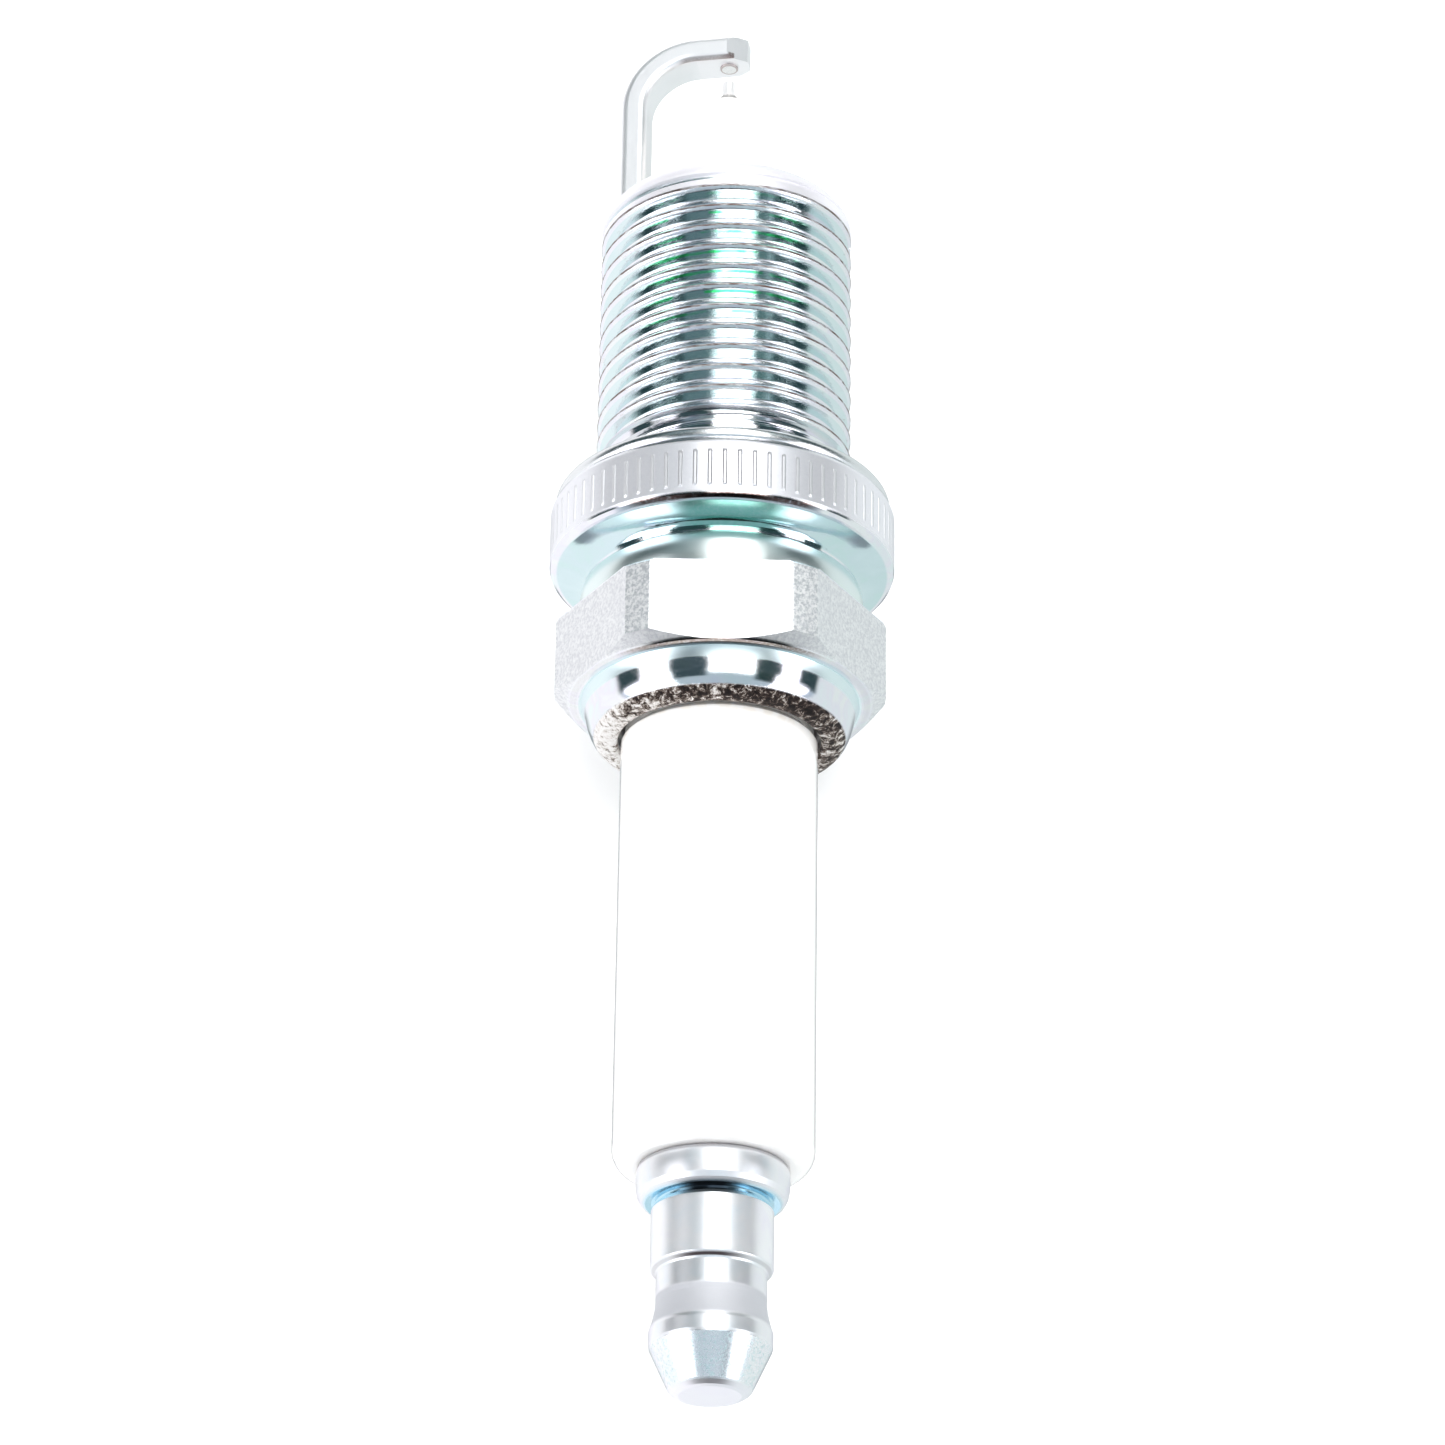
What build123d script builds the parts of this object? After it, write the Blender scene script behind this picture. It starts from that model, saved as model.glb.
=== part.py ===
from build123d import *
from math import atan, cos, degrees, radians, sin, tan
import os

# Spark plug: 14 mm thread, gasket seat, 19 mm reach, 16 mm hexagon. Millimetres.
# The origin is the centre of the gasket's sealing face. +Z runs along the plug's axis
# towards the terminal and the firing end is at -Z. Two hexagon corners lie on the X axis.
# Turned outlines are lists of (radius, z). Small offsets from a named size in an
# outline are its edge breaks and corner roundings.

os.makedirs("parts", exist_ok=True)

# --- shell above the seat ---
SEAT_Z = 0.90              # underside of the flange
FLANGE_R = 9.33
FLANGE_TOP_Z = 4.47
GROOVE_R = 7.30            # groove behind the flange
GROOVE_Z = FLANGE_TOP_Z + 0.95
BAND_R = 7.58              # thin skirt below the hexagon
BAND_TOP_Z = 7.22
HEX_AF = 16.0              # across flats
HEX_CORNER_R = 8.86        # rounded corners
HEX_Z0 = 7.55
HEX_Z1 = 12.26
CRIMP_R = 7.20
LIP_R = 5.43               # rolled lip around the insulator
LIP_Z = 14.62

# --- installation thread, M14 x 1.25 ---
REACH = 19.0
FIRING_END_Z = SEAT_Z - REACH
END_RING_R = 5.70          # flat part of the shell's end ring
THREAD_R = 6.93            # crest radius
THREAD_ROOT_R = 6.25
THREAD_PITCH = 1.25
THREAD_TURNS = 11.5
THREAD_ROOT_ROUND = 0.20   # radius at the root
THREAD_CREST_ROUND = 0.40  # radius of the rolled crest's shoulders
THREAD_FIRST_Z = -15.78    # full depth from here, on the -X side
SEAM_STEP = 0.008          # the rolled seam stands this far above the shoulders
CUT_OVER = 0.06            # groove cutters pass the crest by this much
RUN_IN_CREST_HALF = 0.10   # half width of the run-in cutter, inner and outer edge
RUN_IN_OUTER_HALF = 0.50
RELIEF_R = 6.30
RELIEF_Z = -2.20           # thread ends here, on a short cone down to the relief

# --- inside of the shell ---
CHAMBER_R = 4.30           # open bore around the insulator's nose
LEDGE_R = 3.78
MID_BORE_R = 4.60
BODY_BORE_R = 6.35
BLANK_BORE_R = 3.0         # bore of the outer turning, all cut away by the stepped bore
BLANK_TOP_Z = 13.80

# --- insulator ---
BARREL_R = 5.25            # free barrel above the crimp
BARREL_IN_R = 5.05         # barrel inside the shell
BARREL_ROUND_Z = 37.60     # the top rounding starts here
INS_TOP_Z = 38.69
INS_NOSE_Z = -24.90
NOSE_ROOT_R = 3.40
INS_BODY_R = 6.27
INS_MID_R = 4.52
INS_SEAT_Z = -6.60         # upper, outer edge of the conical seat
NOSE_BORE_R = 1.30
BORE_R = 1.95
SEAT_SLOPE = 0.82          # dz/dr of the packing seat

# --- packings between insulator and shell ---
PACKING_T = 0.42           # thickness of the lower packing, measured along Z
PACKING_IN_R = 3.88
PACKING_OUT_R = 4.44
PACKING_GAP = 0.01         # clearance around the lower packing and the talc
RING_MID_R = 5.70
RING_SECTION_R = 0.60
LOWER_RING_Z = 9.56
UPPER_RING_Z = 13.00

# --- centre electrode and fine-wire tip ---
CENTRE_R = 1.25
HEAD_R = 1.86
HEAD_EDGE_R = 1.70
HEAD_TOP_Z = -3.20
STUB_R = 1.20              # stub above the head
STUB_TOP_R = 1.05
STUB_EDGE_Z = -2.30
STUB_TOP_Z = -2.15         # the copper core ends flush with the stub
COPPER_R = 0.72
COPPER_EDGE_Z = -22.30     # lower edge of the core's cylinder
COPPER_POINT_Z = -23.00
TIP_R = 0.35
TIP_WELD_Z = -25.95
TIP_END_Z = -27.00

# --- glass seals and resistor ---
FILL_R = BORE_R - 0.005
RESISTOR_Z0 = 0.20         # ends of the resistor, at its rim
RESISTOR_Z1 = 9.60
RESISTOR_MID_Z0 = RESISTOR_Z0 - 0.25  # the same ends on the axis
RESISTOR_MID_Z1 = RESISTOR_Z1 - 0.30
SEAL_TOP_Z = 14.20

# --- terminal ---
FOOT_Z = 11.00             # bottom of the stud
FOOT_R = 1.45
FOOT_GROOVE_R = 1.20
FOOT_GROOVES = 4
FOOT_GROOVE_PITCH = 0.62
STUD_SHANK_R = 1.75
STUD_NECK_R = 1.50
STUD_R = 1.95              # M4 x 0.7 crest
STUD_ROOT_R = 1.55
STUD_ROOT_HALF = 0.06      # half width of the groove's flat root
STUD_PITCH = 0.70
STUD_TURNS = 10.2
STUD_THREAD_Z = 41.75
STUD_TOP_Z = 48.40
STUD_FLANGE_R = 3.95
STUD_FLANGE_Z = 40.64      # top of the stud's flange
NUT_Z0 = 40.84
NUT_TOP_Z = 50.90
NUT_BORE_R = 2.03
NUT_SKIRT_R = 3.16
NUT_WAIST_R = 2.84
NUT_HEAD_R = 3.175

# --- captive gasket ---
GASKET_OUT_R = 9.10
GASKET_IN_R = 6.62
GASKET_T = SEAT_Z - 0.04   # the play under the flange lets it turn
FOLD_LEAF_T = 0.36         # thickness of each leaf of the fold

# --- ground electrode ---
GAP = 0.90
PAD_R = 0.50
PAD_T = 0.12
STRAP_T = 1.45
STRAP_W = 2.45
STRAP_ROUND = 0.42         # corner radius of the drawn section
STRAP_LEG_R = 5.24         # mid radius of the leg
STRAP_BEND_R = 3.53        # mid radius of the bend
STRAP_REACH = 1.15         # how far the strap passes the axis
STRAP_ANGLE = 10.0         # turned from +X towards +Y, in degrees
TRIM_LENGTH = 1.12         # trimmed corners at the free end
TRIM_WIDTH = 0.76
WELD_HEIGHT = 0.32         # upset metal where the strap meets the shell
WELD_TAPER = 22
WELD_ROUND = 0.40
PAD_Z = TIP_END_Z - GAP
STRAP_FACE_Z = PAD_Z - PAD_T
STRAP_MID_Z = STRAP_FACE_Z - STRAP_T / 2


def seat_z(radius):
    """Height of the insulator's conical seat at a radius."""
    return INS_SEAT_Z - SEAT_SLOPE * (INS_MID_R - radius)


def write_piece(name, part):
    part.label = name
    export_step(part, f"parts/{name}.step")


def write_turned(name, *outline):
    """Revolve a straight-sided (radius, z) outline about Z and write it."""
    with BuildPart() as turned:
        with BuildSketch(Plane.XZ):
            with BuildLine():
                Polyline(*outline, close=True)
            make_face()
        revolve(axis=Axis.Z)
    write_piece(name, turned.part)


# ---------------------------------------------------------------------------
# metal_shell: one turned, rolled and crimped steel body
# ---------------------------------------------------------------------------
def make_hexagon():
    """Hexagon with rounded corners and a chamfer on the terminal side."""
    flat_r = HEX_AF / 2
    with BuildPart() as hexagon:
        with BuildSketch(Plane.XY.offset(HEX_Z0)):
            RegularPolygon(flat_r, 6, major_radius=False)
        extrude(amount=HEX_Z1 - HEX_Z0)
        with BuildSketch(Plane.XZ):
            with BuildLine():
                Polyline(
                    (0, HEX_Z0),
                    (HEX_CORNER_R - 0.12, HEX_Z0),
                    (HEX_CORNER_R, HEX_Z0 + 0.12),
                    (HEX_CORNER_R, HEX_Z1 - 0.62),
                    (flat_r, HEX_Z1 - 0.06),
                    (flat_r - 0.18, HEX_Z1),
                    (0, HEX_Z1),
                    close=True,
                )
            make_face()
        revolve(axis=Axis.Z, mode=Mode.INTERSECT)
    return hexagon.part


def make_thread_groove():
    """Groove between two rolled crests: round root, 60 degree flanks, round shoulders."""
    root_end = (
        THREAD_ROOT_R + 0.5 * THREAD_ROOT_ROUND,
        THREAD_ROOT_ROUND * sin(radians(60)),
    )
    shoulder_depth = THREAD_CREST_ROUND * (sin(radians(65)) - 0.5)
    flank = (THREAD_R - SEAM_STEP - root_end[0] - shoulder_depth) / cos(radians(30))
    flank_end = (root_end[0] + flank * cos(radians(30)), root_end[1] + flank * 0.5)

    def shoulder(angle):
        """Point on the shoulder's arc, which runs from 30 to 65 degrees."""
        return (
            flank_end[0] + THREAD_CREST_ROUND * (sin(radians(angle)) - 0.5),
            flank_end[1] + THREAD_CREST_ROUND * (cos(radians(30)) - cos(radians(angle))),
        )

    def below(point):
        return (point[0], -point[1])

    round_mid = shoulder(47.5)
    round_end = (THREAD_R - SEAM_STEP, shoulder(65)[1])
    groove_lip = (THREAD_R + CUT_OVER, round_end[1] + 0.02)

    with BuildPart() as groove:
        with BuildLine() as path:
            Helix(
                pitch=THREAD_PITCH,
                height=THREAD_PITCH * THREAD_TURNS,
                radius=THREAD_ROOT_R,
            )
        with BuildSketch(Plane.XZ):
            with BuildLine():
                Line(groove_lip, round_end)
                ThreePointArc(round_end, round_mid, flank_end)
                Line(flank_end, root_end)
                ThreePointArc(root_end, (THREAD_ROOT_R, 0), below(root_end))
                Line(below(root_end), below(flank_end))
                ThreePointArc(below(flank_end), below(round_mid), below(round_end))
                Line(below(round_end), below(groove_lip))
                Line(below(groove_lip), groove_lip)
            make_face()
        sweep(path=path.line, is_frenet=True)
    return groove.part


def make_thread_run_in():
    """First turn: a V groove on a cone, so that it fades in from nothing."""
    depth = THREAD_R - THREAD_ROOT_R
    angle = atan(depth / THREAD_PITCH)
    outer_r = THREAD_R + depth + CUT_OVER
    with BuildPart() as run_in:
        with BuildLine() as path:
            Helix(
                pitch=THREAD_PITCH / cos(angle),
                height=THREAD_PITCH / cos(angle),
                radius=THREAD_R,
                cone_angle=-degrees(angle),
            )
        with BuildSketch(Plane.XZ):
            with BuildLine():
                Polyline(
                    (THREAD_R, -RUN_IN_CREST_HALF),
                    (outer_r, -RUN_IN_OUTER_HALF),
                    (outer_r, RUN_IN_OUTER_HALF),
                    (THREAD_R, RUN_IN_CREST_HALF),
                    close=True,
                )
            make_face()
        sweep(path=path.line, is_frenet=True)
    return run_in.part


hexagon = make_hexagon()
thread_groove = make_thread_groove()
thread_run_in = make_thread_run_in()
pocket_round = BODY_BORE_R - RING_MID_R  # the crimp pocket is rounded about the upper ring
pocket_diagonal = pocket_round * cos(radians(45))

with BuildPart() as metal_shell:
    # outside, turned in one profile from the firing end to the crimp
    with BuildSketch(Plane.XZ):
        with BuildLine():
            Line((BLANK_BORE_R, FIRING_END_Z), (END_RING_R, FIRING_END_Z))
            ThreePointArc(
                (END_RING_R, FIRING_END_Z),
                (6.50, FIRING_END_Z + 0.33),
                (THREAD_R, FIRING_END_Z + 1.10),
            )
            # thread blank, relief and flange
            Polyline(
                (THREAD_R, FIRING_END_Z + 1.10),
                (THREAD_R, RELIEF_Z - 0.16),
                (RELIEF_R + 0.32, RELIEF_Z),
                (RELIEF_R + 0.02, -0.30),
                (RELIEF_R, SEAT_Z - 0.25),
                (RELIEF_R + 0.07, SEAT_Z - 0.08),
                (RELIEF_R + 0.25, SEAT_Z),
                (FLANGE_R - 0.30, SEAT_Z),
                (FLANGE_R - 0.08, SEAT_Z + 0.09),
                (FLANGE_R, SEAT_Z + 0.30),
                (FLANGE_R, FLANGE_TOP_Z - 0.42),
                (FLANGE_R - 0.07, FLANGE_TOP_Z - 0.20),
                (FLANGE_R - 0.24, FLANGE_TOP_Z - 0.05),
                (FLANGE_R - 0.45, FLANGE_TOP_Z),
            )
            # hollowed back of the flange running into the groove
            Spline(
                (FLANGE_R - 0.45, FLANGE_TOP_Z),
                (8.10, FLANGE_TOP_Z + 0.16),
                (7.52, FLANGE_TOP_Z + 0.46),
                (GROOVE_R, GROOVE_Z),
                tangents=[(-1.0, 0.06), (-0.05, 1.0)],
            )
            Polyline(
                (GROOVE_R, GROOVE_Z),
                (GROOVE_R + 0.05, 5.50),
                (BAND_R - 0.10, 5.60),
            )
            # thin wall of the hexagon's skirt, bulged by the hot crimp
            ThreePointArc(
                (BAND_R - 0.10, 5.60), (BAND_R + 0.08, 6.42), (BAND_R, BAND_TOP_Z)
            )
            Polyline(
                (BAND_R, BAND_TOP_Z),
                (BAND_R + 0.02, HEX_Z0 + 0.2),
                (CRIMP_R + 0.28, HEX_Z1 - 0.3),
                (CRIMP_R + 0.26, HEX_Z1 + 0.01),
            )
            # crimp, rolled over towards the insulator
            Spline(
                (CRIMP_R + 0.26, HEX_Z1 + 0.01),
                (CRIMP_R + 0.08, 12.70),
                (CRIMP_R - 0.08, 13.25),
                (6.72, 14.16),
                (6.35, 14.47),
                (LIP_R + 0.28, LIP_Z),
                tangents=[(-0.50, 0.86), (-1.0, 0.08)],
            )
            Polyline(
                (LIP_R + 0.28, LIP_Z),
                (LIP_R + 0.08, LIP_Z - 0.04),
                (LIP_R, LIP_Z - 0.14),
                (LIP_R, BLANK_TOP_Z),
                (BLANK_BORE_R, BLANK_TOP_Z),
                (BLANK_BORE_R, FIRING_END_Z),
            )
        make_face()
    revolve(axis=Axis.Z)
    add(hexagon)
    # inside, stepped: chamber, packing ledge, middle bore, body bore, crimp pocket
    with BuildSketch(Plane.XZ):
        with BuildLine():
            Polyline(
                (0, FIRING_END_Z - 1),
                (CHAMBER_R + 0.35, FIRING_END_Z - 1),
                (CHAMBER_R + 0.35, FIRING_END_Z),
                (CHAMBER_R, FIRING_END_Z + 0.35),
                (CHAMBER_R, -10.20),
                (LEDGE_R, -9.60),
                (LEDGE_R, seat_z(LEDGE_R) - PACKING_T),
                (MID_BORE_R, seat_z(MID_BORE_R) - PACKING_T),
                (MID_BORE_R, -0.42),
                (BODY_BORE_R, 2.00),
                (BODY_BORE_R, UPPER_RING_Z),
            )
            ThreePointArc(
                (BODY_BORE_R, UPPER_RING_Z),
                (RING_MID_R + pocket_diagonal, UPPER_RING_Z + pocket_diagonal),
                (RING_MID_R, UPPER_RING_Z + pocket_round),
            )
            Polyline(
                (RING_MID_R, UPPER_RING_Z + pocket_round),
                (LIP_R, 13.68),
                (LIP_R, 16.0),
                (0, 16.0),
                (0, FIRING_END_Z - 1),
            )
        make_face()
    revolve(axis=Axis.Z, mode=Mode.SUBTRACT)
    with Locations((0, 0, THREAD_FIRST_Z)):
        add(thread_groove, rotation=(0, 0, 180), mode=Mode.SUBTRACT)
    with Locations((0, 0, THREAD_FIRST_Z - THREAD_PITCH)):
        add(thread_run_in, rotation=(0, 0, 180), mode=Mode.SUBTRACT)

write_piece("metal_shell", metal_shell.part)

# ---------------------------------------------------------------------------
# gasket: a folded steel ring, closed at the outside, kept on by the thread crests
# ---------------------------------------------------------------------------
outer_round_r = GASKET_OUT_R - 0.38
inner_round_r = GASKET_IN_R + 0.22
fold_end_r = GASKET_OUT_R - 0.62
fold_top_z = GASKET_T - FOLD_LEAF_T

with BuildPart() as gasket:
    with BuildSketch(Plane.XZ):
        with BuildLine():
            Line((inner_round_r, 0), (outer_round_r, 0))
            ThreePointArc(
                (outer_round_r, 0),
                (GASKET_OUT_R - 0.02, GASKET_T / 2),
                (outer_round_r, GASKET_T),
            )
            Line((outer_round_r, GASKET_T), (inner_round_r, GASKET_T))
            ThreePointArc(
                (inner_round_r, GASKET_T),
                (GASKET_IN_R + 0.06, GASKET_T - 0.07),
                (GASKET_IN_R, GASKET_T - 0.24),
            )
            Line((GASKET_IN_R, GASKET_T - 0.24), (GASKET_IN_R, fold_top_z))
            # the fold's inner gap, open towards the bore
            Line((GASKET_IN_R, fold_top_z), (fold_end_r, fold_top_z))
            ThreePointArc(
                (fold_end_r, fold_top_z),
                (fold_end_r + 0.07, GASKET_T / 2),
                (fold_end_r, FOLD_LEAF_T),
            )
            Line((fold_end_r, FOLD_LEAF_T), (GASKET_IN_R, FOLD_LEAF_T))
            Line((GASKET_IN_R, FOLD_LEAF_T), (GASKET_IN_R, 0.24))
            ThreePointArc(
                (GASKET_IN_R, 0.24), (GASKET_IN_R + 0.06, 0.07), (inner_round_r, 0)
            )
        make_face()
    revolve(axis=Axis.Z)

write_piece("gasket", gasket.part)

# ---------------------------------------------------------------------------
# insulator: one alumina body, nose, seat, middle, large body and plain barrel
# ---------------------------------------------------------------------------
with BuildPart() as insulator:
    with BuildSketch(Plane.XZ):
        with BuildLine():
            Line((NOSE_BORE_R + 0.12, INS_NOSE_Z), (1.72, INS_NOSE_Z))
            ThreePointArc(
                (1.72, INS_NOSE_Z), (2.15, INS_NOSE_Z + 0.20), (2.33, INS_NOSE_Z + 0.62)
            )
            Polyline(
                (2.33, INS_NOSE_Z + 0.62),
                (NOSE_ROOT_R - 0.02, -7.85),
                (NOSE_ROOT_R, seat_z(NOSE_ROOT_R)),
                (INS_MID_R, INS_SEAT_Z),
                (INS_MID_R, -0.30),
                (INS_BODY_R, 2.18),
                (INS_BODY_R, 8.22),
                (BARREL_IN_R, 9.30),
                (BARREL_IN_R, LIP_Z - 0.24),
                (BARREL_R, LIP_Z + 0.04),
                (BARREL_R, BARREL_ROUND_Z),
            )
            ThreePointArc(
                (BARREL_R, BARREL_ROUND_Z),
                (BARREL_R - 0.25, 38.36),
                (BARREL_R - 0.98, INS_TOP_Z),
            )
            # top face, then down the stepped bore
            Polyline(
                (BARREL_R - 0.98, INS_TOP_Z),
                (BORE_R + 0.20, INS_TOP_Z),
                (BORE_R, INS_TOP_Z - 0.20),
                (BORE_R, -4.20),
                (NOSE_BORE_R, -5.00),
                (NOSE_BORE_R, INS_NOSE_Z + 0.12),
                (NOSE_BORE_R + 0.12, INS_NOSE_Z),
            )
        make_face()
    revolve(axis=Axis.Z)

write_piece("insulator", insulator.part)

# ---------------------------------------------------------------------------
# packings: soft steel washer on the ledge, then wire ring, talc and wire ring
# between the insulator's shoulder and the crimp
# ---------------------------------------------------------------------------
write_turned(
    "lower_packing",
    (PACKING_IN_R, seat_z(PACKING_IN_R) - PACKING_GAP),
    (PACKING_OUT_R, seat_z(PACKING_OUT_R) - PACKING_GAP),
    (PACKING_OUT_R, seat_z(PACKING_OUT_R) - PACKING_T + PACKING_GAP),
    (PACKING_IN_R, seat_z(PACKING_IN_R) - PACKING_T + PACKING_GAP),
)

for ring_name, ring_z in (
    ("lower_wire_ring", LOWER_RING_Z),
    ("upper_wire_ring", UPPER_RING_Z),
):
    with BuildPart() as wire_ring:
        with BuildSketch(Plane.XZ):
            with Locations((RING_MID_R, ring_z)):
                Circle(RING_SECTION_R)
        revolve(axis=Axis.Z)
    write_piece(ring_name, wire_ring.part)

talc_z0 = LOWER_RING_Z + RING_SECTION_R + PACKING_GAP
talc_z1 = UPPER_RING_Z - RING_SECTION_R - PACKING_GAP
write_turned(
    "talc_packing",
    (BARREL_IN_R + PACKING_GAP, talc_z0),
    (BODY_BORE_R - PACKING_GAP, talc_z0),
    (BODY_BORE_R - PACKING_GAP, talc_z1),
    (BARREL_IN_R + PACKING_GAP, talc_z1),
)

# ---------------------------------------------------------------------------
# centre electrode: nickel sheath with a copper core and a welded fine-wire tip
# ---------------------------------------------------------------------------
write_turned(
    "centre_electrode",
    (0, TIP_WELD_Z),
    (TIP_R + 0.16, TIP_WELD_Z),
    (TIP_R + 0.22, -25.88),
    (CENTRE_R - 0.04, -25.22),
    (CENTRE_R, -25.12),
    (CENTRE_R, -4.98),
    (HEAD_R, -4.22),
    (HEAD_R, -3.40),
    (HEAD_EDGE_R, HEAD_TOP_Z),
    (STUB_R, HEAD_TOP_Z),
    (STUB_R, STUB_EDGE_Z),
    (STUB_TOP_R, STUB_TOP_Z),
    (COPPER_R, STUB_TOP_Z),
    (COPPER_R, COPPER_EDGE_Z),
    (0, COPPER_POINT_Z),
)

write_turned(
    "copper_core",
    (0, COPPER_POINT_Z),
    (COPPER_R, COPPER_EDGE_Z),
    (COPPER_R, STUB_TOP_Z),
    (0, STUB_TOP_Z),
)

write_turned(
    "fine_wire_tip",
    (0, TIP_END_Z),
    (TIP_R - 0.03, TIP_END_Z),
    (TIP_R, TIP_END_Z + 0.03),
    (TIP_R, -26.22),
    (TIP_R + 0.04, -26.12),
    (TIP_R + 0.13, TIP_WELD_Z),
    (0, TIP_WELD_Z),
)

# ---------------------------------------------------------------------------
# conductive glass seals and resistor, fused inside the insulator's bore
# ---------------------------------------------------------------------------
write_turned(
    "lower_glass_seal",
    (STUB_R, HEAD_TOP_Z),
    (HEAD_EDGE_R, HEAD_TOP_Z),
    (FILL_R, HEAD_TOP_Z),
    (FILL_R, RESISTOR_Z0),
    (0, RESISTOR_MID_Z0),
    (0, STUB_TOP_Z),
    (STUB_TOP_R, STUB_TOP_Z),
    (STUB_R, STUB_EDGE_Z),
)

write_turned(
    "resistor",
    (0, RESISTOR_MID_Z0),
    (FILL_R, RESISTOR_Z0),
    (FILL_R, RESISTOR_Z1),
    (0, RESISTOR_MID_Z1),
)

# grooved foot of the stud, gripped by the upper seal
foot = [(0, FOOT_Z), (1.15, FOOT_Z), (FOOT_R, FOOT_Z + 0.30)]
for i in range(FOOT_GROOVES):
    z = FOOT_Z + 0.45 + FOOT_GROOVE_PITCH * i
    foot += [
        (FOOT_R, z),
        (FOOT_GROOVE_R, z + 0.16),
        (FOOT_GROOVE_R, z + 0.30),
        (FOOT_R, z + 0.46),
    ]
foot += [(FOOT_R, SEAL_TOP_Z)]

write_turned(
    "upper_glass_seal",
    *foot,
    (FILL_R, SEAL_TOP_Z),
    (FILL_R, RESISTOR_Z1),
    (0, RESISTOR_MID_Z1),
)


# ---------------------------------------------------------------------------
# terminal stud: foot, shank, flange on the insulator's end, M4 thread
# ---------------------------------------------------------------------------
def make_stud_groove():
    start = (0, 0, STUD_THREAD_Z)
    outer_r = STUD_R + 0.08
    outer_half = STUD_ROOT_HALF + (outer_r - STUD_ROOT_R) * tan(radians(30))
    with BuildPart() as groove:
        with BuildLine() as path:
            Helix(
                pitch=STUD_PITCH,
                height=STUD_PITCH * STUD_TURNS,
                radius=STUD_ROOT_R,
                center=start,
            )
        with BuildSketch(Plane(origin=start, x_dir=(1, 0, 0), z_dir=(0, -1, 0))):
            with BuildLine():
                Polyline(
                    (STUD_ROOT_R, -STUD_ROOT_HALF),
                    (outer_r, -outer_half),
                    (outer_r, outer_half),
                    (STUD_ROOT_R, STUD_ROOT_HALF),
                    close=True,
                )
            make_face()
        sweep(path=path.line, is_frenet=True)
    return groove.part


stud_groove = make_stud_groove()

with BuildPart() as terminal_stud:
    with BuildSketch(Plane.XZ):
        with BuildLine():
            Polyline(
                *foot,
                (STUD_SHANK_R, SEAL_TOP_Z + 0.30),
                (STUD_SHANK_R, INS_TOP_Z),
                (STUD_FLANGE_R - 0.22, INS_TOP_Z),
                (STUD_FLANGE_R - 0.05, INS_TOP_Z + 0.10),
                (STUD_FLANGE_R, INS_TOP_Z + 0.32),
            )
            ThreePointArc(
                (STUD_FLANGE_R, INS_TOP_Z + 0.32),
                (STUD_FLANGE_R + 0.02, INS_TOP_Z + 0.95),
                (STUD_FLANGE_R - 0.06, INS_TOP_Z + 1.50),
            )
            Polyline(
                (STUD_FLANGE_R - 0.06, INS_TOP_Z + 1.50),
                (STUD_FLANGE_R - 0.20, INS_TOP_Z + 1.78),
                (STUD_FLANGE_R - 0.48, STUD_FLANGE_Z),
                (3.16, STUD_FLANGE_Z - 0.02),
                (2.98, STUD_FLANGE_Z + 0.03),
                (2.86, STUD_FLANGE_Z + 0.16),
                (1.70, STUD_FLANGE_Z + 0.16),
                (STUD_NECK_R, STUD_FLANGE_Z + 0.40),
                (STUD_NECK_R, 41.60),
                (STUD_R, 42.05),
                (STUD_R, STUD_TOP_Z - 0.50),
                (STUD_NECK_R, STUD_TOP_Z),
                (0, STUD_TOP_Z),
                (0, FOOT_Z),
            )
        make_face()
    revolve(axis=Axis.Z)
    add(stud_groove, mode=Mode.SUBTRACT)

write_piece("terminal_stud", terminal_stud.part)

# ---------------------------------------------------------------------------
# terminal nut: removable connector head, blind bore over the stud
# ---------------------------------------------------------------------------
with BuildPart() as terminal_nut:
    with BuildSketch(Plane.XZ):
        with BuildLine():
            # skirt and waist
            Polyline(
                (NUT_BORE_R + 0.20, NUT_Z0),
                (2.92, NUT_Z0),
                (3.08, NUT_Z0 + 0.08),
                (NUT_SKIRT_R, NUT_Z0 + 0.26),
                (NUT_SKIRT_R, 44.16),
                (3.13, 44.23),
                (2.89, 44.39),
                (NUT_WAIST_R, 44.50),
                (NUT_WAIST_R, 46.07),
            )
            Spline(
                (NUT_WAIST_R, 46.07),
                (2.95, 46.85),
                (3.13, 47.49),
                tangents=[(0.05, 1), (0.22, 1)],
            )
            # head, conical top and bore
            Polyline(
                (3.13, 47.49),
                (NUT_HEAD_R, 47.62),
                (NUT_HEAD_R, 48.30),
                (3.13, 48.47),
                (2.16, 50.58),
                (2.09, 50.66),
                (1.83, 50.83),
                (1.60, NUT_TOP_Z),
                (0, NUT_TOP_Z),
                (0, 49.90),
                (NUT_BORE_R - 0.45, 49.15),
                (NUT_BORE_R, 49.00),
                (NUT_BORE_R, NUT_Z0 + 0.20),
                (NUT_BORE_R + 0.20, NUT_Z0),
            )
        make_face()
    revolve(axis=Axis.Z)

write_piece("terminal_nut", terminal_nut.part)

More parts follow.
